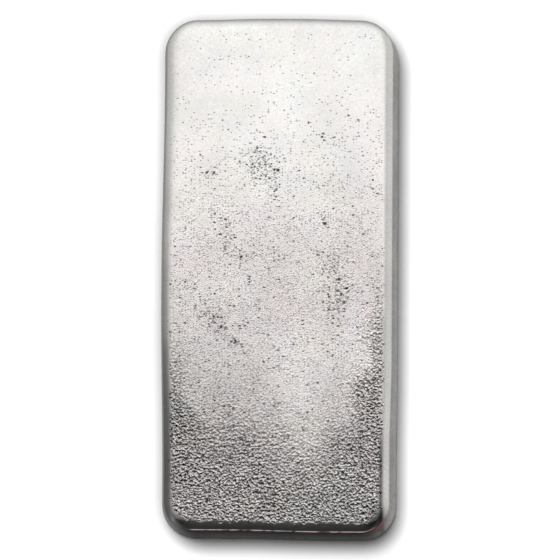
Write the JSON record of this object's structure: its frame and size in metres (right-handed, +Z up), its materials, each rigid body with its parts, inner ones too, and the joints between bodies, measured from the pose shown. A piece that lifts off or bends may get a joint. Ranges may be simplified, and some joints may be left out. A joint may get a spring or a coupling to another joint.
{
  "type": "metal ingot",
  "caption": "Small cast silver ingot, a flat oblong block with leaning walls and rounded corners, used as raw stock for melting, storing or weighing.",
  "frame": {"origin": "on the floor, under the middle of the casting", "axes": "+Z up through the flat mould-side face, +Y along the length, +X across the width"},
  "size_m": [0.0532, 0.1178, 0.0158],
  "materials": {
    "cast_silver": "as cast, bright, with a wrinkled and lightly pitted skin"
  },
  "bodies": {
    "root": {"ingot": "cast_silver"}
  },
  "joints": []
}
